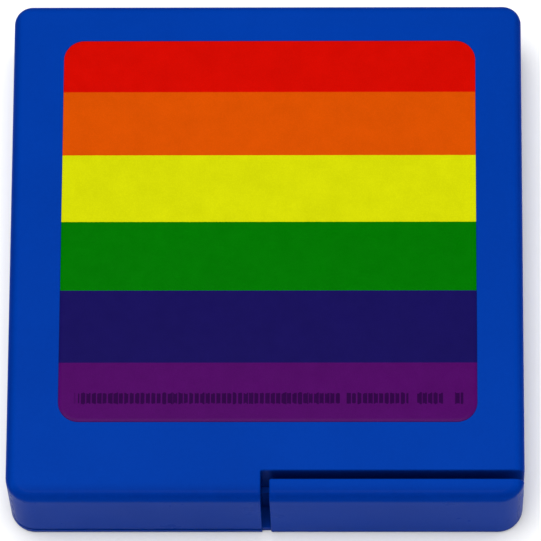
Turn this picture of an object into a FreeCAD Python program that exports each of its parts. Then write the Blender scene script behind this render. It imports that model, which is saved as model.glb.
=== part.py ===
import FreeCAD, Part
import os
import Sketcher
from FreeCAD import Vector

# Six-colour ink pad: a square two-part case hinged at the back. On the left half of the front the
# lid's lip comes down to a low flange of the base, and on the right half a block of the base stands
# as high as the lid. Millimetres, +Z up, front -Y.

doc = FreeCAD.newDocument("ink_pad")
sheet = doc.addObject("Spreadsheet::Sheet", "dims")

SIZES = [
    # the closed case
    ("case_width", "83"),
    ("case_depth", "85"),
    ("case_height", "18"),
    ("corner_radius", "3"),
    ("front_corner_radius", "4.1"),
    ("top_radius", "1.6"),
    ("foot_radius", "0.6"),
    ("gap_edge_radius", "0.3"),
    ("wall", "1.8"),
    ("split_height", "9"),
    ("rim_gap", "0.2"),
    # hinges
    ("knuckle_radius", "2.2"),
    ("knuckle_offset", "0.15"),
    ("knuckle_room", "0.35"),
    ("hinge_spread", "24"),
    ("lid_knuckle_half", "3"),
    ("base_knuckle_length", "4"),
    ("knuckle_gap", "0.3"),
    ("pin_radius", "0.8"),
    ("pin_play", "0.05"),
    # front closure
    ("front_strip", "3.55"),
    ("front_gap", "1.4"),
    ("lip_play", "0.4"),
    ("flange_height", "1.5"),
    ("lip_seam", "0.4"),
    ("lip_edge_radius", "0.3"),
    ("flange_notch", "0.4"),
    ("core_wall", "1.2"),
    ("core_rib", "1.2"),
    ("catch_height", "4"),
    ("catch_radius", "0.25"),
    ("catch_start", "8"),
    ("catch_length", "8"),
    ("catch_pitch", "16"),
    ("catch_play", "0.5"),
    # the tray and what is in it
    ("tray_half_width", "39.2"),
    ("tray_front", "-36.5"),
    ("tray_back", "38.9"),
    ("tray_wall", "1.2"),
    ("tray_floor", "1"),
    ("tray_rim", "10.9"),
    ("tray_edge_radius", "0.3"),
    ("divider_thickness", "0.7"),
    ("divider_height", "7.4"),
    ("divider_groove", "0.5"),
    ("divider_edge_radius", "0.2"),
    ("strip_play", "0.2"),
    ("pad_top", "11.6"),
    ("cloth_thickness", "0.5"),
    ("cloth_skirt", "7.4"),
    ("cloth_radius", "0.45"),
    # lid inside and label
    ("seal_rib", "1"),
    ("seal_gap", "0.25"),
    ("label_width", "67.2"),
    ("label_depth", "65.5"),
    ("label_x", "0.38"),
    ("label_y", "2.13"),
    ("label_radius", "3.3"),
    ("label_thickness", "0.15"),
    ("label_inset", "0.02"),
    ("label_play", "0.06"),
    # underside and moulding marks
    ("under_rim", "6"),
    ("under_recess", "0.4"),
    ("gate_radius", "1.5"),
    ("ejector_radius", "2.5"),
    ("ejector_depth", "0.15"),
    ("ejector_x", "27"),
    ("ejector_y", "24"),
    # worked out from the sizes above
    ("half_width", "=case_width / 2"),
    ("overall_depth", "=case_depth + knuckle_offset + knuckle_radius"),
    ("front_y", "=-overall_depth / 2"),
    ("back_y", "=front_y + case_depth"),
    ("axis_y", "=back_y + knuckle_offset"),
    ("notch_radius", "=knuckle_radius + knuckle_room"),
    ("base_rim", "=split_height - rim_gap / 2"),
    ("lid_rim", "=split_height + rim_gap / 2"),
    ("half_gap", "=front_gap / 2"),
    ("strip_back", "=front_y + front_strip"),
    ("lid_edge", "=strip_back + front_gap"),
    ("base_left_face", "=strip_back + lip_play"),
    ("lip_bottom", "=flange_height + lip_seam"),
    ("inner_half", "=half_width - wall"),
    ("inner_back", "=back_y - wall"),
    ("inner_front", "=lid_edge + wall"),
    ("inner_radius", "=corner_radius - wall"),
    ("panel_under", "=case_height - wall"),
    ("beyond", "=case_width"),
]

for row, (alias, value) in enumerate(SIZES, 1):
    sheet.set("A%d" % row, alias.replace("_", " "))
    sheet.set("B%d" % row, value)
    sheet.setAlias("B%d" % row, alias)
doc.recompute()


def size(expression):
    """The value of an expression in the sheet's names."""
    return float(sheet.evalExpression(bind(expression)))


def bind(expression):
    """The same expression with each size's name prefixed by the sheet's, as objects need it."""
    words = []
    word = ""
    for char in expression + " ":
        if char.isalnum() or char in "_.":
            word += char
            continue
        words.append("dims." + word if word[:1].isalpha() else word)
        words.append(char)
        word = ""
    return "".join(words).strip()


def new_body(name):
    body = doc.addObject("PartDesign::Body", name)
    body.Label = name
    return body


def new_sketch(body, plane, level):
    """An empty sketch on one of the body's origin planes, at the stated distance along its normal."""
    sketch = body.newObject("Sketcher::SketchObject", body.Name + "_sketch")
    support = [item for item in body.Origin.OriginFeatures if item.Role == plane][0]
    sketch.AttachmentSupport = [(support, "")]
    sketch.MapMode = "FlatFace"
    sketch.setExpression("AttachmentOffset.Base.z", bind(level))
    return sketch


def tie(sketch, kind, expression, *where):
    """A dimension that follows the sheet."""
    number = sketch.addConstraint(Sketcher.Constraint(kind, *where, size(expression)))
    sketch.setExpression("Constraints[%d]" % number, bind(expression))


def add_rectangle(sketch, left, right, low, high):
    x0, x1, y0, y1 = size(left), size(right), size(low), size(high)
    corners = [Vector(x0, y0), Vector(x1, y0), Vector(x1, y1), Vector(x0, y1)]
    first = sketch.GeometryCount
    for i in range(4):
        sketch.addGeometry(Part.LineSegment(corners[i], corners[(i + 1) % 4]))
    for i in range(4):
        sketch.addConstraint(Sketcher.Constraint("Coincident", first + i, 2, first + (i + 1) % 4, 1))
        sketch.addConstraint(Sketcher.Constraint(("Horizontal", "Vertical")[i % 2], first + i))
    tie(sketch, "DistanceX", left, -1, 1, first, 1)
    tie(sketch, "DistanceY", low, -1, 1, first, 1)
    tie(sketch, "DistanceX", right, -1, 1, first + 2, 1)
    tie(sketch, "DistanceY", high, -1, 1, first + 2, 1)


def add_rounded_rectangle(sketch, left, right, low, high, radius, low_radius=None):
    """Four sides and four arcs; the two corners on the low side may have their own radius."""
    low_radius = low_radius or radius
    x0, x1, y0, y1 = size(left), size(right), size(low), size(high)
    r, q = size(radius), size(low_radius)
    ends = [
        (Vector(x0 + q, y0), Vector(x1 - q, y0)),
        (Vector(x1, y0 + q), Vector(x1, y1 - r)),
        (Vector(x1 - r, y1), Vector(x0 + r, y1)),
        (Vector(x0, y1 - r), Vector(x0, y0 + q)),
    ]
    centres = [
        Vector(x1 - q, y0 + q),
        Vector(x1 - r, y1 - r),
        Vector(x0 + r, y1 - r),
        Vector(x0 + q, y0 + q),
    ]
    first = sketch.GeometryCount
    quarter = 3.14159265358979 / 2
    for i in range(4):
        sketch.addGeometry(Part.LineSegment(*ends[i]))
        circle = Part.Circle(centres[i], Vector(0, 0, 1), q if i in (0, 3) else r)
        sketch.addGeometry(Part.ArcOfCircle(circle, (i - 1) * quarter, i * quarter))
    for i in range(4):
        line, arc, following = first + 2 * i, first + 2 * i + 1, first + (2 * i + 2) % 8
        sketch.addConstraint(Sketcher.Constraint("Tangent", line, 2, arc, 1))
        sketch.addConstraint(Sketcher.Constraint("Tangent", arc, 2, following, 1))
        sketch.addConstraint(Sketcher.Constraint(("Horizontal", "Vertical")[i % 2], line))
    for arc, same, words in ((first + 1, first + 7, low_radius), (first + 3, first + 5, radius)):
        tie(sketch, "Radius", words, arc)
        sketch.addConstraint(Sketcher.Constraint("Equal", arc, same))
    tie(sketch, "DistanceY", low, -1, 1, first, 1)
    tie(sketch, "DistanceX", right, -1, 1, first + 2, 1)
    tie(sketch, "DistanceY", high, -1, 1, first + 4, 1)
    tie(sketch, "DistanceX", left, -1, 1, first + 6, 1)


def add_circle(sketch, across, up, radius):
    centre = Vector(size(across), size(up))
    number = sketch.addGeometry(Part.Circle(centre, Vector(0, 0, 1), size(radius)))
    tie(sketch, "Radius", radius, number)
    tie(sketch, "DistanceX", across, -1, 1, number, 3)
    tie(sketch, "DistanceY", up, -1, 1, number, 3)


def volume_of(body):
    doc.recompute()
    return body.Shape.Volume


def pad(body, sketch, length, down=False):
    """Adds the sketch's profile to the body; a pad that adds nothing is an error."""
    before = volume_of(body) if body.Tip else 0
    feature = body.newObject("PartDesign::Pad", body.Name + "_pad")
    feature.Profile = sketch
    feature.Reversed = down
    feature.setExpression("Length", bind(length))
    if volume_of(body) <= before + 1e-6:
        raise ValueError("%s adds nothing" % feature.Name)


def cut(body, sketch, length, up=False):
    """Cuts the sketch's profile out of the body; a cut that takes nothing away is an error."""
    before = volume_of(body)
    feature = body.newObject("PartDesign::Pocket", body.Name + "_cut")
    feature.Profile = sketch
    feature.Reversed = up
    feature.setExpression("Length", bind(length))
    if volume_of(body) >= before - 1e-6:
        raise ValueError("%s cuts nothing" % feature.Name)


def fillet(body, radius, wanted):
    """Rounds each edge of the body's last feature for which wanted(edge's box) holds."""
    doc.recompute()
    last = body.Tip
    names = ["Edge%d" % n for n, edge in enumerate(last.Shape.Edges, 1) if wanted(edge.BoundBox)]
    feature = body.newObject("PartDesign::Fillet", body.Name + "_fillet")
    feature.Base = (last, names)
    feature.setExpression("Radius", bind(radius))
    doc.recompute()
    if not names or "Invalid" in feature.State or not feature.Shape.Solids or not feature.Shape.isValid():
        raise ValueError("%s failed on %d edges" % (feature.Name, len(names)))


def near(value, expression):
    return abs(value - size(expression)) < 1e-4


def level_with(box, expression):
    """Whether the box is flat and lies at this height."""
    return near(box.ZMin, expression) and near(box.ZMax, expression)


def case_outline(body, bottom, bottom_radius):
    """The whole outline of the closed case from bottom up, with its top and bottom edges rounded."""
    sketch = new_sketch(body, "XY_Plane", bottom)
    outline = ("-half_width", "half_width", "front_y", "back_y", "corner_radius", "front_corner_radius")
    add_rounded_rectangle(sketch, *outline)
    pad(body, sketch, "case_height - %s" % bottom)
    fillet(body, "top_radius", lambda box: level_with(box, "case_height"))
    fillet(body, bottom_radius, lambda box: level_with(box, bottom))


def cylinder_along_x(body, radius, start, length, cutting):
    """Adds or cuts a cylinder on the hinge axis, from start along +X."""
    sketch = new_sketch(body, "YZ_Plane", start)
    add_circle(sketch, "axis_y", "split_height", radius)
    if cutting:
        cut(body, sketch, length, up=True)
    else:
        pad(body, sketch, length)


# where each hinge's knuckles start along X, for the left hinge and the right
OUTER_STARTS = [
    "%shinge_spread - lid_knuckle_half - knuckle_gap - base_knuckle_length",
    "%shinge_spread + lid_knuckle_half + knuckle_gap",
]
SIDES = ["-", ""]

# where the two ridges behind the lip start along X
CATCH_STARTS = ["-half_width + catch_start", "-half_width + catch_start + catch_pitch"]


def make_base():
    body = new_body("base_shell")
    case_outline(body, "0", "foot_radius")

    # above the rim only the front block stays
    sketch = new_sketch(body, "XY_Plane", "case_height")
    add_rectangle(sketch, "-beyond", "beyond", "strip_back", "beyond")
    cut(body, sketch, "case_height - base_rim")
    sketch = new_sketch(body, "XY_Plane", "case_height")
    add_rectangle(sketch, "-beyond", "half_gap", "-beyond", "strip_back")
    cut(body, sketch, "case_height - base_rim")

    # room for the lid's lip on the left, over a flange that has a notch below the gap
    sketch = new_sketch(body, "XY_Plane", "base_rim")
    add_rectangle(sketch, "-beyond", "half_gap", "-beyond", "base_left_face")
    cut(body, sketch, "base_rim - flange_height")
    sketch = new_sketch(body, "XY_Plane", "flange_height")
    add_rectangle(sketch, "-half_gap", "half_gap", "-beyond", "front_y + flange_notch")
    cut(body, sketch, "flange_height")

    # the hollow, which reaches further forward behind the lip
    sketch = new_sketch(body, "XY_Plane", "base_rim")
    add_rounded_rectangle(sketch, "-inner_half", "inner_half", "inner_front", "inner_back", "inner_radius")
    cut(body, sketch, "base_rim - wall")
    sketch = new_sketch(body, "XY_Plane", "base_rim")
    add_rectangle(sketch, "-inner_half", "-front_gap", "base_left_face + wall", "inner_front + 2 * wall")
    cut(body, sketch, "base_rim - wall")

    # hinges: room for the lid's knuckles, then the base's own, then the pin's bore
    for side in SIDES:
        cylinder_along_x(
            body,
            "notch_radius",
            side + "hinge_spread - lid_knuckle_half - knuckle_gap",
            "2 * (lid_knuckle_half + knuckle_gap)",
            cutting=True,
        )
        for start in OUTER_STARTS:
            cylinder_along_x(body, "knuckle_radius", start % side, "base_knuckle_length", cutting=False)
        cylinder_along_x(body, "pin_radius", OUTER_STARTS[0] % side, "pin_length", cutting=True)

    # ridges on the face behind the lip, which the lip clicks over
    for start in CATCH_STARTS:
        sketch = new_sketch(body, "YZ_Plane", start)
        add_circle(sketch, "base_left_face", "catch_height", "catch_radius")
        pad(body, sketch, "catch_length")

    # underside: a shallow panel, and cores that keep the front block's walls even
    sketch = new_sketch(body, "XY_Plane", "0")
    add_rounded_rectangle(
        sketch,
        "-half_width + under_rim",
        "half_width - under_rim",
        "inner_front + under_rim / 2",
        "back_y - under_rim",
        "corner_radius",
    )
    cut(body, sketch, "under_recess", up=True)
    for back, depth in (("lid_edge", "base_rim - wall"), ("strip_back - core_wall", "panel_under")):
        sketch = new_sketch(body, "XY_Plane", "0")
        for cell in range(4):
            left = "half_gap + core_wall + %d * core_pitch" % cell
            add_rectangle(sketch, left, left + " + core_pitch - core_rib", "front_y + core_wall", back)
        cut(body, sketch, depth, up=True)

    add_moulding_marks(body, "under_recess")
    sketch = new_sketch(body, "XY_Plane", "under_recess")
    add_circle(sketch, "0", "0", "gate_radius")
    pad(body, sketch, "under_recess * 0.7", down=True)

    # softened edges along the gaps
    def on_gap(box):
        above = box.ZMax > size("base_rim") + 0.01
        back_face = near(box.YMin, "strip_back") and near(box.YMax, "strip_back")
        left_face = near(box.XMin, "half_gap") and near(box.XMax, "half_gap")
        behind_gap = box.YMax > size("strip_back") + 0.01
        return above and (back_face or left_face) and not behind_gap

    fillet(body, "gap_edge_radius", on_gap)
    return body


def add_moulding_marks(body, level):
    """Shallow round dents that ejector pins leave, in the face at this height."""
    sketch = new_sketch(body, "XY_Plane", level)
    for across in ("-ejector_x", "ejector_x"):
        for along in ("-ejector_y", "ejector_y"):
            add_circle(sketch, across, along, "ejector_radius")
    cut(body, sketch, "ejector_depth", up=True)


def make_lid():
    body = new_body("lid_shell")
    case_outline(body, "lip_bottom", "lip_edge_radius")

    # below the rim only the front lip stays
    sketch = new_sketch(body, "XY_Plane", "lid_rim")
    add_rectangle(sketch, "-beyond", "beyond", "strip_back", "beyond")
    cut(body, sketch, "lid_rim")
    sketch = new_sketch(body, "XY_Plane", "case_height")
    add_rectangle(sketch, "-half_gap", "beyond", "-beyond", "strip_back + front_gap")
    cut(body, sketch, "case_height")

    # the hollow, which reaches further forward behind the lip
    sketch = new_sketch(body, "XY_Plane", "lid_rim")
    add_rounded_rectangle(sketch, "-inner_half", "inner_half", "inner_front", "inner_back", "inner_radius")
    cut(body, sketch, "panel_under - lid_rim", up=True)
    sketch = new_sketch(body, "XY_Plane", "lid_rim")
    edges = ("-inner_half", "-front_gap - half_gap", "strip_back + wall", "inner_front + 2 * wall")
    add_rectangle(sketch, *edges)
    cut(body, sketch, "panel_under - lid_rim", up=True)

    # the rib that closes down on the tray's rim
    sketch = new_sketch(body, "XY_Plane", "panel_under")
    outer = ("-tray_half_width", "tray_half_width", "tray_front", "tray_back")
    add_rounded_rectangle(sketch, *outer, "inner_radius")
    inner = (
        "-tray_half_width + seal_rib",
        "tray_half_width - seal_rib",
        "tray_front + seal_rib",
        "tray_back - seal_rib",
    )
    add_rounded_rectangle(sketch, *inner, "inner_radius / 2")
    pad(body, sketch, "panel_under - tray_rim - seal_gap", down=True)
    add_moulding_marks(body, "panel_under")

    # the label's recess
    sketch = new_sketch(body, "XY_Plane", "case_height")
    add_label_outline(sketch, "label_play")
    cut(body, sketch, "label_thickness + label_inset")

    # hinges: room for the base's knuckles, then the lid's own, then the pin's bore
    for side in SIDES:
        for start in OUTER_STARTS:
            cylinder_along_x(
                body,
                "notch_radius",
                (start % side) + " - knuckle_gap",
                "base_knuckle_length + 2 * knuckle_gap",
                cutting=True,
            )
        cylinder_along_x(
            body,
            "knuckle_radius",
            side + "hinge_spread - lid_knuckle_half",
            "2 * lid_knuckle_half",
            cutting=False,
        )
        cylinder_along_x(
            body,
            "pin_radius + pin_play",
            side + "hinge_spread - lid_knuckle_half",
            "2 * lid_knuckle_half",
            cutting=True,
        )

    # grooves in the lip opposite the base's ridges, and cores from its tip
    for start in CATCH_STARTS:
        sketch = new_sketch(body, "YZ_Plane", start + " - catch_play")
        add_circle(sketch, "strip_back", "catch_height", "catch_radius")
        cut(body, sketch, "catch_length + 2 * catch_play", up=True)
    sketch = new_sketch(body, "XY_Plane", "lip_bottom")
    for cell in range(4):
        right = "-half_gap - core_wall - %d * core_pitch" % cell
        left = right + " - core_pitch + core_rib"
        add_rectangle(sketch, left, right, "front_y + core_wall", "strip_back - core_wall")
    cut(body, sketch, "panel_under - lip_bottom", up=True)

    # softened edges along the gaps
    def on_gap(box):
        lid_edge = near(box.YMin, "lid_edge") and near(box.YMax, "lid_edge")
        lip_end = near(box.XMin, "-half_gap") and near(box.XMax, "-half_gap")
        outer = box.YMin < size("strip_back") - 0.01 or box.ZMin > size("split_height + 1")
        return box.ZMax > size("split_height") and (lid_edge or (lip_end and outer))

    fillet(body, "gap_edge_radius", on_gap)
    return body


def add_label_outline(sketch, play):
    add_rounded_rectangle(
        sketch,
        "label_x - label_width / 2 - %s" % play,
        "label_x + label_width / 2 + %s" % play,
        "label_y - label_depth / 2 - %s" % play,
        "label_y + label_depth / 2 + %s" % play,
        "label_radius + %s" % play,
    )


def make_label():
    body = new_body("label")
    sketch = new_sketch(body, "XY_Plane", "case_height - label_thickness - label_inset")
    add_label_outline(sketch, "0")
    pad(body, sketch, "label_thickness")
    return body


def make_pin(name, side):
    body = new_body(name)
    cylinder_along_x(body, "pin_radius", OUTER_STARTS[0] % side, "pin_length", cutting=False)
    return body


def divider_front(number):
    """The front face of a divider, counted from the back of the tray."""
    return "tray_back - tray_wall - %d * (strip_width + divider_thickness)" % number


def make_tray():
    body = new_body("ink_tray")
    sketch = new_sketch(body, "XY_Plane", "wall")
    add_rounded_rectangle(
        sketch, "-tray_half_width", "tray_half_width", "tray_front", "tray_back", "inner_radius"
    )
    pad(body, sketch, "tray_rim - wall")
    sketch = new_sketch(body, "XY_Plane", "tray_rim")
    add_rectangle(
        sketch,
        "-tray_half_width + tray_wall",
        "tray_half_width - tray_wall",
        "tray_front + tray_wall",
        "tray_back - tray_wall",
    )
    cut(body, sketch, "tray_rim - wall - tray_floor")

    # grooves in both end walls, which hold the dividers
    for left, right in (
        ("-tray_half_width + tray_wall - divider_groove", "-tray_half_width + 2 * tray_wall"),
        ("tray_half_width - 2 * tray_wall", "tray_half_width - tray_wall + divider_groove"),
    ):
        sketch = new_sketch(body, "XY_Plane", "tray_rim")
        for number in range(1, 6):
            front = divider_front(number)
            add_rectangle(sketch, left, right, front, front + " + divider_thickness")
        cut(body, sketch, "tray_rim - wall - tray_floor")
    fillet(body, "tray_edge_radius", lambda box: level_with(box, "tray_rim") and on_tray_outside(box))
    return body


def on_tray_outside(box):
    return (
        near(-box.XMin, "tray_half_width")
        or near(box.XMax, "tray_half_width")
        or near(box.YMin, "tray_front")
        or near(box.YMax, "tray_back")
    )


def make_divider(number):
    body = new_body("divider_%d" % number)
    sketch = new_sketch(body, "XY_Plane", "wall + tray_floor")
    front = divider_front(number)
    half = "(tray_half_width - tray_wall + divider_groove)"
    add_rectangle(sketch, "-" + half, half, front, front + " + divider_thickness")
    pad(body, sketch, "divider_height")
    top = "wall + tray_floor + divider_height"
    fillet(body, "divider_edge_radius", lambda box: level_with(box, top) and box.XLength > size(half))
    return body


def strip_sides(number, inset):
    """Left, right, front and back of an ink strip, counted from the back, drawn in by inset."""
    front = divider_front(number + 1) + " + divider_thickness"
    return (
        "-tray_half_width + tray_wall + strip_play + %s" % inset,
        "tray_half_width - tray_wall - strip_play - %s" % inset,
        front + " + strip_play + %s" % inset,
        front + " + strip_width - strip_play - %s" % inset,
    )


def make_foam(name, number):
    body = new_body("foam_" + name)
    sketch = new_sketch(body, "XY_Plane", "wall + tray_floor")
    add_rounded_rectangle(sketch, *strip_sides(number, "cloth_thickness"), "cloth_radius")
    pad(body, sketch, "pad_top - cloth_thickness - wall - tray_floor")
    return body


def make_cloth(name, number):
    """A cap over the sponge: a flat top with a skirt tucked down its four sides."""
    body = new_body("cloth_" + name)
    sketch = new_sketch(body, "XY_Plane", "pad_top - cloth_skirt")
    add_rounded_rectangle(sketch, *strip_sides(number, "0"), "cloth_thickness + cloth_radius")
    pad(body, sketch, "cloth_skirt")
    fillet(body, "cloth_radius", lambda box: level_with(box, "pad_top"))
    sketch = new_sketch(body, "XY_Plane", "pad_top - cloth_skirt")
    add_rounded_rectangle(sketch, *strip_sides(number, "cloth_thickness"), "cloth_radius")
    cut(body, sketch, "cloth_skirt - cloth_thickness", up=True)
    return body


# sizes that follow from several groups above
LATE_SIZES = [
    ("pin_length", "=2 * (lid_knuckle_half + knuckle_gap + base_knuckle_length)"),
    ("core_pitch", "=(half_width - half_gap - 2 * core_wall + core_rib - corner_radius / 2) / 4"),
    ("strip_width", "=(tray_back - tray_front - 2 * tray_wall - 5 * divider_thickness) / 6"),
]
for row, (alias, value) in enumerate(LATE_SIZES, len(SIZES) + 1):
    sheet.set("A%d" % row, alias.replace("_", " "))
    sheet.set("B%d" % row, value)
    sheet.setAlias("B%d" % row, alias)
doc.recompute()

COLOURS = ["red", "orange", "yellow", "green", "blue", "purple"]

parts = [make_base(), make_lid(), make_label()]
parts.append(make_pin("hinge_pin_left", "-"))
parts.append(make_pin("hinge_pin_right", ""))
parts.append(make_tray())
for number in range(1, 6):
    parts.append(make_divider(number))
for number, name in enumerate(COLOURS):
    parts.append(make_foam(name, number))
    parts.append(make_cloth(name, number))

doc.recompute()
for item in doc.Objects:
    if "Invalid" in item.State or "Error" in item.State:
        raise ValueError("%s has state %s" % (item.Name, item.State))

os.makedirs("parts", exist_ok=True)
for part in parts:
    shape = part.Shape
    if not shape.isValid() or len(shape.Solids) != 1:
        raise ValueError("%s is not one valid solid" % part.Label)
    shape.exportStep("parts/%s.step" % part.Label)
    box = shape.BoundBox
    print(
        "%-16s x %.3f..%.3f y %.3f..%.3f z %.3f..%.3f volume %.1f"
        % (part.Label, box.XMin, box.XMax, box.YMin, box.YMax, box.ZMin, box.ZMax, shape.Volume)
    )
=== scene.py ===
import math

import bmesh
import bpy
from mathutils import Matrix, Vector, noise


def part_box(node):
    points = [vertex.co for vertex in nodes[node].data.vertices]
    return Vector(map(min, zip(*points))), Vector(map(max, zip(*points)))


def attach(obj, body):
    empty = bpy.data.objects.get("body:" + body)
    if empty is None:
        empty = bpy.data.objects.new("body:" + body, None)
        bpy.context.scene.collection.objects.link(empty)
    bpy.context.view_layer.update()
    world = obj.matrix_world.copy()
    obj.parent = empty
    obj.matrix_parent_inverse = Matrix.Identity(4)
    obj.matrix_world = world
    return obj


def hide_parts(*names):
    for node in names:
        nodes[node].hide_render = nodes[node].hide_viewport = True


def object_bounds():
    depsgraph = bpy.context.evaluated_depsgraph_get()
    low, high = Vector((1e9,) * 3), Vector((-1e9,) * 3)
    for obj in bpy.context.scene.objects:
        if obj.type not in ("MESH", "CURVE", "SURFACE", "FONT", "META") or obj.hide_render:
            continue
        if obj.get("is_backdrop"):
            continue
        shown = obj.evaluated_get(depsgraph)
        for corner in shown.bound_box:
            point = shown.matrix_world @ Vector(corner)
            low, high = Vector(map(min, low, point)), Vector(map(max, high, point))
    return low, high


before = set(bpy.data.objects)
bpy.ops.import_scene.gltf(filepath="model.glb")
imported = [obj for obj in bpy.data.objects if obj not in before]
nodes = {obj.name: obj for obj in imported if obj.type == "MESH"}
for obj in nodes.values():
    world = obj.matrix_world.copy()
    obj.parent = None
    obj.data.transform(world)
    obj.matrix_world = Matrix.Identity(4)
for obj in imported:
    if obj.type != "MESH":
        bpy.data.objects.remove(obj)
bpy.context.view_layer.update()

scene = bpy.context.scene
scene.view_settings.view_transform = "Standard"

MM = 0.001
COLOURS = ("red", "orange", "yellow", "green", "blue", "purple")

# the cloth simulation of the ink pads
PAD_GROWN = 30.0
PAD_FRAMES = 16
PAD_HELD = 1.2 * MM  # height of the foot that the simulation holds still
PAD_CAP = 0.8 * MM  # how far a point of the cloth may move
PAD_DRAWN = 0.12 * MM  # how far the sides pull in between the ends
PAD_RIPPLE = 0.05 * MM


# ---------------------------------------------------------------- node helpers


class Shader:
    """A new material's node tree, with short calls for the nodes that this script uses."""

    def __init__(self, name):
        self.material = bpy.data.materials.new(name)
        self.material.use_nodes = True
        self.tree = self.material.node_tree
        self.tree.nodes.clear()
        self.output = self.tree.nodes.new("ShaderNodeOutputMaterial")
        self.bsdf = self.tree.nodes.new("ShaderNodeBsdfPrincipled")
        self.tree.links.new(self.bsdf.outputs[0], self.output.inputs[0])
        self.coords = self.tree.nodes.new("ShaderNodeTexCoord")
        scaled = self.tree.nodes.new("ShaderNodeVectorMath")
        scaled.operation = "SCALE"
        scaled.inputs["Scale"].default_value = 1 / MM
        self.tree.links.new(self.coords.outputs["Object"], scaled.inputs[0])
        self.mm = scaled.outputs[0]  # the position in millimetres, in the row frame

    def put(self, socket, value):
        """Sets a socket to a number or colour, or links it to another socket."""
        if isinstance(value, bpy.types.NodeSocket):
            self.tree.links.new(value, socket)
        elif value is not None:
            socket.default_value = value

    def set(self, **values):
        """Sets inputs of the Principled shader, with _ for a space in their names."""
        for name, value in values.items():
            self.put(self.bsdf.inputs[name.replace("_", " ")], value)

    def math(self, operation, first, second=None, third=None, clamp=False):
        node = self.tree.nodes.new("ShaderNodeMath")
        node.operation = operation
        node.use_clamp = clamp
        for socket, value in zip(node.inputs, (first, second, third)):
            self.put(socket, value)
        return node.outputs[0]

    def xyz(self, vector=None):
        node = self.tree.nodes.new("ShaderNodeSeparateXYZ")
        self.put(node.inputs[0], vector or self.mm)
        return node.outputs[0], node.outputs[1], node.outputs[2]

    def stretch(self, x, y, z, vector=None):
        node = self.tree.nodes.new("ShaderNodeVectorMath")
        node.operation = "MULTIPLY"
        self.put(node.inputs[0], vector or self.mm)
        node.inputs[1].default_value = (x, y, z)
        return node.outputs[0]

    def join(self, x, y, z):
        node = self.tree.nodes.new("ShaderNodeCombineXYZ")
        for socket, value in zip(node.inputs, (x, y, z)):
            self.put(socket, value)
        return node.outputs[0]

    def noise(self, scale, detail=2.0, rough=0.5, vector=None, distortion=0.0):
        """A noise's factor; scale is in cycles per millimetre."""
        node = self.tree.nodes.new("ShaderNodeTexNoise")
        self.put(node.inputs["Vector"], vector or self.mm)
        node.inputs["Scale"].default_value = scale
        node.inputs["Detail"].default_value = detail
        node.inputs["Roughness"].default_value = rough
        node.inputs["Distortion"].default_value = distortion
        return node.outputs[0]

    def cells(self, scale, feature="F1", vector=None):
        node = self.tree.nodes.new("ShaderNodeTexVoronoi")
        node.feature = feature
        self.put(node.inputs["Vector"], vector or self.mm)
        node.inputs["Scale"].default_value = scale
        return node.outputs["Distance"]

    def ramp(self, value, stops, constant=False):
        """A colour ramp through (position, colour) stops."""
        node = self.tree.nodes.new("ShaderNodeValToRGB")
        node.color_ramp.interpolation = "CONSTANT" if constant else "LINEAR"
        elements = node.color_ramp.elements
        while len(elements) < len(stops):
            elements.new(0.5)
        for element, (position, colour) in zip(elements, stops):
            element.position = position
            element.color = (*colour, 1)
        self.put(node.inputs[0], value)
        return node.outputs[0]

    def span(self, value, low, high, to_low=0.0, to_high=1.0):
        """value mapped from low..high to to_low..to_high, clamped."""
        node = self.tree.nodes.new("ShaderNodeMapRange")
        for socket, number in zip(node.inputs, (value, low, high, to_low, to_high)):
            self.put(socket, number)
        return node.outputs[0]

    def mix(self, factor, first, second, blend="MIX"):
        """A mix of two colours."""
        node = self.tree.nodes.new("ShaderNodeMix")
        node.data_type = "RGBA"
        node.blend_type = blend
        self.put(node.inputs["Factor"], factor)
        for socket, value in ((node.inputs[6], first), (node.inputs[7], second)):
            self.put(socket, (*value, 1) if isinstance(value, tuple) else value)
        return node.outputs[2]

    def bump(self, height, distance, strength=1.0, normal=None):
        """A bump from a height of 0 to 1; distance is its depth in metres."""
        node = self.tree.nodes.new("ShaderNodeBump")
        node.inputs["Strength"].default_value = strength
        node.inputs["Distance"].default_value = distance
        self.put(node.inputs["Height"], height)
        self.put(node.inputs["Normal"], normal)
        return node.outputs[0]


def paint(obj, material):
    obj.data.materials.clear()
    obj.data.materials.append(material)


# ---------------------------------------------------------------- materials


MATTE_CASE = 0.006  # specular levels far under real plastic's 0.5, for the photo's even colours
MATTE_LABEL = 0.012
FRONT_SHARE = 0.45  # what a distance from the front face counts for in the painted shade band of the edges


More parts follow.
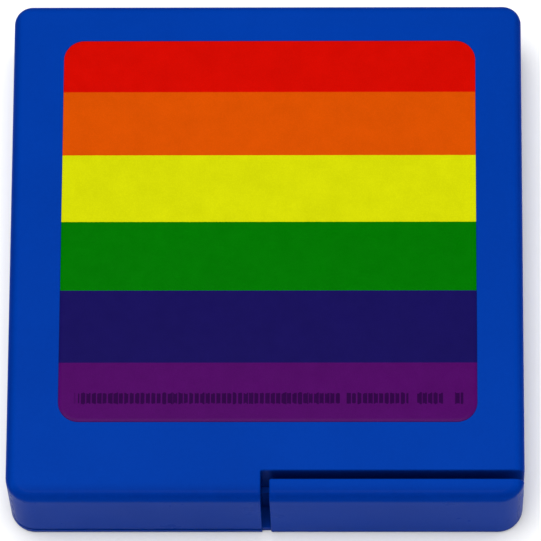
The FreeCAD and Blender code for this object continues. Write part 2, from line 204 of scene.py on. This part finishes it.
def case_plastic(low, high):
    """Moulded blue styrene with almost no gloss: faint flow clouds, fine grain and hairline scratches.
    The outer edges are painted a deeper blue as painted shade, which stands in for the shade on an
    edge rounding wider than the shells have. The closed case runs from low to high."""
    s = Shader("case_plastic")
    cloud = s.noise(0.035, 3.0, 0.55)
    colour = s.mix(s.span(cloud, 0.3, 0.7), (0.0001, 0.0295, 0.262), (0.0001, 0.034, 0.294))
    speck = s.noise(2.2, 2.0, 0.6)
    colour = s.mix(s.span(speck, 0.35, 0.75, 0.0, 0.10), colour, (0.001, 0.05, 0.40))
    hair = s.noise(0.9, 5.0, 0.7, s.stretch(0.12, 2.4, 1.0), 0.6)
    scratch = s.span(s.math("ABSOLUTE", s.math("SUBTRACT", hair, 0.5)), 0.0, 0.012, 1.0, 0.0)
    rub = s.span(s.noise(0.08, 2.0), 0.45, 0.7)
    scratch = s.math("MULTIPLY", scratch, rub)
    rough = s.span(s.noise(0.12, 4.0, 0.6), 0.3, 0.7, 0.26, 0.34)
    colour = s.mix(s.math("MULTIPLY", scratch, 0.10), colour, (0.010, 0.085, 0.50))

    # how near a point is to each pair of outer faces, and so to the nearest outer edge; distances
    #     from the front count for less, so the painted shade band is widest there, as the real case's
    #     rounding is; how near a point is to each pair of outer faces, and so to the nearest outer
    #     edge; distances from the front count for less, so the dark band is widest there, as the
    #     photo's rounding is
    near = []
    for value, start, end, share in zip(s.xyz(), low / MM, high / MM, (1.0, FRONT_SHARE, 1.0)):
        from_start = s.math("MULTIPLY", s.math("SUBTRACT", value, start), share)
        near.append(s.math("MINIMUM", from_start, s.math("SUBTRACT", end, value)))
    pairs = [s.math("MAXIMUM", near[a], near[b]) for a, b in ((0, 1), (1, 2), (0, 2))]
    edge = s.math("MINIMUM", s.math("MINIMUM", pairs[0], pairs[1]), pairs[2])
    patchy = s.span(s.noise(0.5, 4.0, 0.65), 0.3, 0.7, 0.75, 1.0)
    # painted shade: the outer edges darkened to a deeper blue, widest at the front; the same mask also
    # lowers the roughness a little
    painted_edge_shade = s.math("MULTIPLY", s.span(edge, 0.3, 1.25, 1.0, 0.0), patchy)
    colour = s.mix(s.math("MULTIPLY", painted_edge_shade, 0.55), colour, (0.0001, 0.009, 0.125))
    rough = s.math("SUBTRACT", rough, s.math("MULTIPLY", painted_edge_shade, 0.08))
    s.set(
        Base_Color=colour,
        Roughness=s.math("ADD", rough, s.math("MULTIPLY", scratch, 0.08)),
        IOR=1.49,
        Specular_IOR_Level=MATTE_CASE,
    )
    grain = s.bump(s.noise(4.5, 3.0, 0.65), 0.012 * MM, 0.6)
    wave = s.bump(s.noise(0.05, 1.0), 0.12 * MM, 0.5, grain)
    s.set(Normal=s.bump(scratch, -0.006 * MM, 0.5, wave))
    return s.material


# the six printed colours, from the hinge side to the front
BAND_COLOURS = (
    (0.510, 0.002, 0.000),
    (0.550, 0.064, 0.000),
    (0.526, 0.555, 0.001),
    (0.000, 0.139, 0.000),
    (0.007, 0.004, 0.080),
    (0.062, 0.002, 0.097),
)
BAND_SHARES = (0.133, 0.169, 0.178, 0.178, 0.186, 0.156)
PRINT_DARK = (0.022, 0.0004, 0.044)
LABEL_RADIUS = 3.3 * MM


def label_print(low, high):
    """A printed vinyl sticker with almost no gloss: six bands and a line of unreadable small print."""
    s = Shader("label_print")
    x, y, z = s.xyz()
    down = s.span(y, high.y / MM, low.y / MM)
    ragged = s.math("MULTIPLY", s.math("SUBTRACT", s.noise(6.0, 2.0), 0.5), 0.0016)
    down = s.math("ADD", down, ragged)
    stops, start = [], 0.0
    for share, colour in zip(BAND_SHARES, BAND_COLOURS):
        stops.append((start, colour))
        start += share
    bands = s.ramp(down, stops, constant=True)

    # small print: dashes of uneven length stand for words
    middle = low.y / MM + 3.95  # its height on the label
    tall = 1.02  # half the height of its tallest dash
    along = s.math("MULTIPLY", x, 1.15)
    letter = s.math("FRACT", along)
    word = s.noise(0.33, 0.0, 0.5, s.join(x, 7.0, 0.0))
    uneven = s.noise(1.7, 1.0, 0.5, s.join(x, 3.0, 0.0))
    stroke = s.math("LESS_THAN", letter, s.span(uneven, 0.3, 0.7, 0.66, 0.94))
    gap = s.math("GREATER_THAN", word, 0.315)
    height = s.span(uneven, 0.35, 0.65, 0.72, 1.0)
    off = s.math("ABSOLUTE", s.math("SUBTRACT", y, middle))
    row = s.math("LESS_THAN", off, s.math("MULTIPLY", height, tall))
    inside = s.math("LESS_THAN", s.math("ABSOLUTE", s.math("SUBTRACT", x, 0.55)), 31.2)
    ink = s.math("MULTIPLY", s.math("MULTIPLY", stroke, gap), s.math("MULTIPLY", row, inside))
    colour = s.mix(ink, bands, PRINT_DARK)

    # the screen of the print, and a little mottling of the ink
    screen = s.cells(5.0, "F1", s.stretch(1.0, 1.0, 0.0))
    colour = s.mix(s.span(screen, 0.05, 0.6, 0.0, 0.10), colour, (0.0, 0.0, 0.0))
    mottle = s.noise(0.25, 4.0, 0.6)
    colour = s.mix(s.span(mottle, 0.35, 0.7, 0.0, 0.08), colour, (1.0, 1.0, 1.0), "OVERLAY")
    s.set(
        Base_Color=colour,
        Roughness=s.span(s.noise(0.5, 3.0), 0.3, 0.7, 0.18, 0.25),
        IOR=1.46,
        Specular_IOR_Level=MATTE_LABEL,
    )
    peel = s.bump(s.noise(0.12, 1.0, 0.5), 0.02 * MM, 0.4)
    s.set(Normal=s.bump(s.noise(9.0, 2.0), 0.002 * MM, 0.4, peel))
    return s.material


def tray_plastic(name, tone):
    """White polypropylene with a waxy surface, stained a little where ink has crept up the walls."""
    s = Shader(name)
    x, y, z = s.xyz()
    base = s.mix(s.span(s.noise(0.09, 3.0), 0.3, 0.7), tone, tuple(c * 0.93 for c in tone))
    blot = s.span(s.noise(0.45, 4.0, 0.65), 0.52, 0.72)
    low_down = s.span(z, 8.0, 10.8, 0.55, 0.0)
    colour = s.mix(s.math("MULTIPLY", blot, low_down), base, (0.16, 0.09, 0.20))
    s.set(
        Base_Color=colour,
        Roughness=s.span(s.noise(0.4, 3.0), 0.3, 0.7, 0.42, 0.55),
        IOR=1.49,
        Subsurface_Weight=0.08,
        Subsurface_Radius=(1.0, 0.95, 0.9),
        Subsurface_Scale=0.6 * MM,
    )
    s.set(Normal=s.bump(s.noise(3.0, 3.0, 0.6), 0.015 * MM, 0.6))
    return s.material


def pin_metal():
    """Drawn steel wire: fine rings along its length."""
    s = Shader("pin_metal")
    drawn = s.noise(1.0, 4.0, 0.7, s.stretch(0.4, 9.0, 9.0))
    colour = s.mix(s.span(drawn, 0.3, 0.7), (0.42, 0.42, 0.43), (0.62, 0.62, 0.61))
    s.set(Base_Color=colour, Metallic=1.0, Roughness=s.span(drawn, 0.3, 0.7, 0.25, 0.42))
    s.set(Normal=s.bump(drawn, 0.01 * MM, 0.5))
    return s.material


def ink_cloth(name, ink, seed):
    """Tightly woven cloth soaked in pigment ink: a plain weave, damp blotches and dry patches."""
    s = Shader("ink_cloth_" + name)
    x, y, z = s.xyz()
    pitch = 2 * math.pi / 0.42
    wobble = s.math("MULTIPLY", s.math("SUBTRACT", s.noise(0.6, 2.0), 0.5), 0.5)
    warp = s.math("SINE", s.math("MULTIPLY", s.math("ADD", x, wobble), pitch))
    weft = s.math("SINE", s.math("MULTIPLY", s.math("ADD", y, wobble), pitch))
    check = s.math("MULTIPLY", warp, weft)
    thread = s.math("MAXIMUM", s.math("ABSOLUTE", warp), s.math("ABSOLUTE", weft))
    weave = s.math("ADD", s.math("MULTIPLY", thread, 0.6), s.math("MULTIPLY", check, 0.4))
    weave = s.span(weave, -0.4, 1.0)
    place = s.join(s.math("ADD", x, seed * 17.0), y, z)
    damp = s.span(s.noise(0.11, 4.0, 0.6, place), 0.38, 0.66)
    deep = tuple(c * 0.80 for c in ink)
    pale = tuple(min(1.0, c * 1.08 + 0.004) for c in ink)
    colour = s.mix(damp, pale, deep)
    colour = s.mix(s.span(weave, 0.0, 1.0, 0.40, 0.0), colour, tuple(c * 0.45 for c in ink))
    blot = s.span(s.noise(0.32, 3.0, 0.6, place), 0.60, 0.74)
    colour = s.mix(s.math("MULTIPLY", blot, 0.18), colour, tuple(c * 0.4 for c in ink))
    s.set(
        Base_Color=colour,
        Roughness=s.span(damp, 0.0, 1.0, 0.85, 0.42),
        IOR=1.45,
        Specular_IOR_Level=0.25,
        Sheen_Weight=0.06,
        Sheen_Roughness=0.5,
    )
    fuzz = s.bump(s.noise(3.5, 3.0, 0.7), 0.05 * MM, 0.5)
    s.set(Normal=s.bump(weave, 0.10 * MM, 0.8, fuzz))
    return s.material


# ---------------------------------------------------------------- shapes


def mesh_object(name, build):
    bm = bmesh.new()
    build(bm)
    bmesh.ops.recalc_face_normals(bm, faces=bm.faces)
    mesh = bpy.data.meshes.new(name)
    bm.to_mesh(mesh)
    bm.free()
    obj = bpy.data.objects.new(name, mesh)
    scene.collection.objects.link(obj)
    for face in mesh.polygons:
        face.use_smooth = True
    return obj


def rounded_outline(low, high, radius, steps):
    """Points round a rectangle with rounded corners, anticlockwise."""
    points = []
    corners = (
        (high.x - radius, high.y - radius, 0),
        (low.x + radius, high.y - radius, 1),
        (low.x + radius, low.y + radius, 2),
        (high.x - radius, low.y + radius, 3),
    )
    for cx, cy, quarter in corners:
        for k in range(steps + 1):
            angle = (quarter + k / steps) * math.pi / 2
            points.append((cx + radius * math.cos(angle), cy + radius * math.sin(angle)))
    return points


def ease(value):
    value = max(0.0, min(1.0, value))
    return value * value * (3 - 2 * value)


def build_label(low, high, radius):
    """The sticker: a thin sheet whose cut edge is rolled over a little all round."""
    thick = high.z - low.z
    rings = (
        # how far in from the edge, and the height over the underside, in parts of the thickness
        (0.00 * MM, 0.0),
        (0.00 * MM, 0.55),
        (0.03 * MM, 0.85),
        (0.09 * MM, 1.0),
        (0.60 * MM, 1.0),
    )

    def build(bm):
        loops = []
        for inset, lift in rings:
            inner = Vector((inset, inset, 0))
            outline = rounded_outline(low + inner, high - inner, radius - inset, 12)
            loops.append([bm.verts.new((x, y, low.z + lift * thick)) for x, y in outline])
        for outer, inner in zip(loops, loops[1:]):
            for i in range(len(outer)):
                j = (i + 1) % len(outer)
                bm.faces.new((outer[i], outer[j], inner[j], inner[i]))
        bm.faces.new(loops[-1])
        bm.faces.new(list(reversed(loops[0])))

    return mesh_object("label_sheet", build)


def pad_block(name, low, high):
    """The sponge of an ink strip as it is cut: a block with softened edges, PAD_GROWN times its size,
    because the cloth simulation works best at the scale of furniture."""
    size = high - low
    centre = (low + high) / 2
    shoulder = 0.7 * MM

    def build(bm):
        bmesh.ops.create_cube(bm, size=1.0)
        for axis, cuts in ((0, 60), (1, 10), (2, 5)):
            edges = [
                e
                for e in bm.edges
                if abs((e.verts[0].co - e.verts[1].co).normalized()[axis]) > 0.99
            ]
            bmesh.ops.subdivide_edges(bm, edges=edges, cuts=cuts, use_grid_fill=True)
        half = size / 2
        for v in bm.verts:
            p = Vector(v.co[k] * size[k] for k in range(3))
            core = Vector(max(-half[k] + shoulder, min(half[k] - shoulder, p[k])) for k in range(3))
            off = p - core
            if off.length > 0:
                p = core + off.normalized() * min(off.length, shoulder)
            v.co = (centre + p) * PAD_GROWN

    return mesh_object(name, build)


def swell(pads):
    """Blows the cloth of every pad up a little over its sponge, all in one simulation, then brings
    the pads back to their true size. Each pad is an object with its low and high corner."""
    for obj, low, high in pads:
        held = obj.vertex_groups.new(name="held")
        still = (low.z + PAD_HELD) * PAD_GROWN
        held.add([v.index for v in obj.data.vertices if v.co.z < still], 1.0, "ADD")
        cloth = obj.modifiers.new("cloth", "CLOTH")
        cloth.settings.quality = 6
        cloth.settings.mass = 0.4
        cloth.settings.tension_stiffness = 30
        cloth.settings.compression_stiffness = 30
        cloth.settings.shear_stiffness = 15
        cloth.settings.bending_stiffness = 4
        cloth.settings.vertex_group_mass = "held"
        cloth.settings.use_pressure = True
        cloth.settings.uniform_pressure_force = 4
        cloth.settings.effector_weights.gravity = 0
        cloth.point_cache.frame_start, cloth.point_cache.frame_end = 1, PAD_FRAMES
    for frame_number in range(1, PAD_FRAMES + 1):
        scene.frame_set(frame_number)
    graph = bpy.context.evaluated_depsgraph_get()
    for obj, low, high in pads:
        blown = bpy.data.meshes.new_from_object(obj.evaluated_get(graph))
        moves = [(v.co - w.co) / PAD_GROWN for v, w in zip(blown.vertices, obj.data.vertices)]
        obj.modifiers.clear()
        obj.vertex_groups.clear()
        for v, move in zip(obj.data.vertices, moves):
            v.co = v.co / PAD_GROWN + move * min(1.0, PAD_CAP / max(move.length, 1e-9))
        bpy.data.meshes.remove(blown)
        settle(obj, low, high)
        obj.modifiers.new("smooth", "SUBSURF").levels = 1
        obj.modifiers["smooth"].render_levels = 1
    scene.frame_set(1)


def settle(obj, low, high):
    """Fits a blown pad back between its neighbours: its top to the cloth's height, and its sides
    against the walls, drawn in a little between the ends."""
    centre, half = (low + high) / 2, (high - low) / 2
    top = max(v.co.z for v in obj.data.vertices)
    wide = max(abs(v.co.y - centre.y) for v in obj.data.vertices)
    long = max(abs(v.co.x - centre.x) for v in obj.data.vertices)
    for v in obj.data.vertices:
        u, w = (v.co.x - centre.x) / long, (v.co.y - centre.y) / wide
        lift = (v.co.z - low.z) / (top - low.z)
        drawn = PAD_DRAWN * (1 - u * u) * w
        ripple = noise.noise(Vector((v.co.x / (9 * MM), v.co.y / (5 * MM), centre.y / MM)))
        v.co.x = centre.x + u * half.x
        v.co.y = centre.y + w * half.y - drawn
        sunk = PAD_RIPPLE * (ripple - 1) * ease((lift - 0.6) * 2.5)
        v.co.z = low.z + lift * (high.z - low.z) + sunk


# ---------------------------------------------------------------- the object

# from the tray's back to the back face of the case, which the hinges' knuckles reach past
BEHIND_TRAY = 2.425 * MM

base_low, base_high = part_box("base_shell")
lid_low, lid_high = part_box("lid_shell")
base_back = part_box("ink_tray")[1].y + BEHIND_TRAY
case = case_plastic(base_low, Vector((base_high.x, base_back, lid_high.z)))
for name in ("base_shell", "lid_shell"):
    paint(nodes[name], case)

label_low, label_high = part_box("label")
label = build_label(label_low, label_high, LABEL_RADIUS)
paint(label, label_print(label_low, label_high))
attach(label, "lid")
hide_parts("label")

paint(nodes["ink_tray"], tray_plastic("tray_plastic", (0.80, 0.80, 0.78)))
divider = tray_plastic("divider_plastic", (0.84, 0.84, 0.83))
for number in range(1, 6):
    paint(nodes["divider_%d" % number], divider)
steel = pin_metal()
for side in ("left", "right"):
    paint(nodes["hinge_pin_" + side], steel)

INKS = {
    "red": (0.56, 0.010, 0.012),
    "orange": (0.70, 0.130, 0.006),
    "yellow": (0.80, 0.600, 0.012),
    "green": (0.008, 0.230, 0.040),
    "blue": (0.014, 0.022, 0.250),
    "purple": (0.120, 0.010, 0.190),
}
pads = []
for colour in COLOURS:
    cloth_low, cloth_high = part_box("cloth_" + colour)
    foam_low, foam_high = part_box("foam_" + colour)
    low = Vector((cloth_low.x, cloth_low.y, foam_low.z))
    pads.append((pad_block("ink_pad_" + colour, low, cloth_high), low, cloth_high))
swell(pads)
for seed, colour in enumerate(COLOURS):
    pad = pads[seed][0]
    paint(pad, ink_cloth(colour, INKS[colour], seed))
    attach(pad, "base")
    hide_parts("cloth_" + colour, "foam_" + colour)


# ---------------------------------------------------------------- floor, light and camera


def build_floor():
    """A pale floor that curves up into a wall all round, far outside the object."""
    flat, bend, wall, steps = 2.2, 0.8, 1.0, 12
    profile = [(0.0, 0.0), (flat, 0.0)]
    for k in range(1, steps + 1):
        angle = k / steps * math.pi / 2
        profile.append((flat + bend * math.sin(angle), bend * (1 - math.cos(angle))))
    profile.append((flat + bend, bend + wall))
    turns = 96

    def build(bm):
        centre = bm.verts.new((0, 0, 0))
        loops = []
        for radius, height in profile[1:]:
            ring = []
            for k in range(turns):
                angle = 2 * math.pi * k / turns
                ring.append(bm.verts.new((radius * math.cos(angle), radius * math.sin(angle), height)))
            loops.append(ring)
        for k in range(turns):
            j = (k + 1) % turns
            bm.faces.new((centre, loops[0][k], loops[0][j]))
            for inner, outer in zip(loops, loops[1:]):
                bm.faces.new((inner[k], outer[k], outer[j], inner[j]))

    floor = mesh_object("floor", build)
    s = Shader("floor_paper")
    tone = s.mix(s.span(s.noise(0.02, 2.0), 0.3, 0.7), (0.91, 0.912, 0.905), (0.93, 0.932, 0.925))
    s.set(Base_Color=tone, Roughness=0.9, Specular_IOR_Level=0.1)
    paint(floor, s.material)
    floor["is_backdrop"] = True


def area_light(name, place, aim, size, power, tint=(1, 1, 1)):
    data = bpy.data.lights.new(name, "AREA")
    data.shape = "DISK"
    data.size = size
    data.energy = power
    data.color = tint
    light = bpy.data.objects.new(name, data)
    scene.collection.objects.link(light)
    light.location = place
    light.rotation_mode = "QUATERNION"
    light.rotation_quaternion = (Vector(place) - Vector(aim)).to_track_quat("Z", "Y")


def set_lights():
    area_light("key", (-0.10, -0.01, 1.28), (0, 0, 0), 0.7, 13.4)
    area_light("side", (1.15, 0.55, 0.7), (0, 0, 0), 0.7, 2.0)
    world = bpy.data.worlds.new("studio")
    world.use_nodes = True
    background = world.node_tree.nodes["Background"]
    background.inputs["Color"].default_value = (1, 1, 1, 1)
    background.inputs["Strength"].default_value = 0.55
    scene.world = world


def set_camera():
    """A long lens high over the front, turned and rolled by about three degrees."""
    target = Vector((0.38, 1.40, 0.0)) * MM
    distance, lens = 1.0, 404.3
    elevation, azimuth, roll = (math.radians(a) for a in (70.52, 3.20, -3.07))
    back = Vector(
        (
            math.sin(azimuth) * math.cos(elevation),
            -math.cos(azimuth) * math.cos(elevation),
            math.sin(elevation),
        )
    )
    right = Vector((math.cos(azimuth), math.sin(azimuth), 0))
    up = back.cross(right)
    rolled_right = right * math.cos(roll) + up * math.sin(roll)
    rolled_up = up * math.cos(roll) - right * math.sin(roll)
    place = Matrix((rolled_right, rolled_up, back)).transposed().to_4x4()
    place.translation = target + back * distance
    data = bpy.data.cameras.new("camera")
    data.lens = lens
    data.sensor_width = 36.0
    data.clip_start, data.clip_end = 0.05, 20.0
    data.dof.use_dof = False
    camera = bpy.data.objects.new("camera", data)
    scene.collection.objects.link(camera)
    camera.matrix_world = place
    scene.camera = camera


build_floor()
set_lights()
set_camera()

low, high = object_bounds()
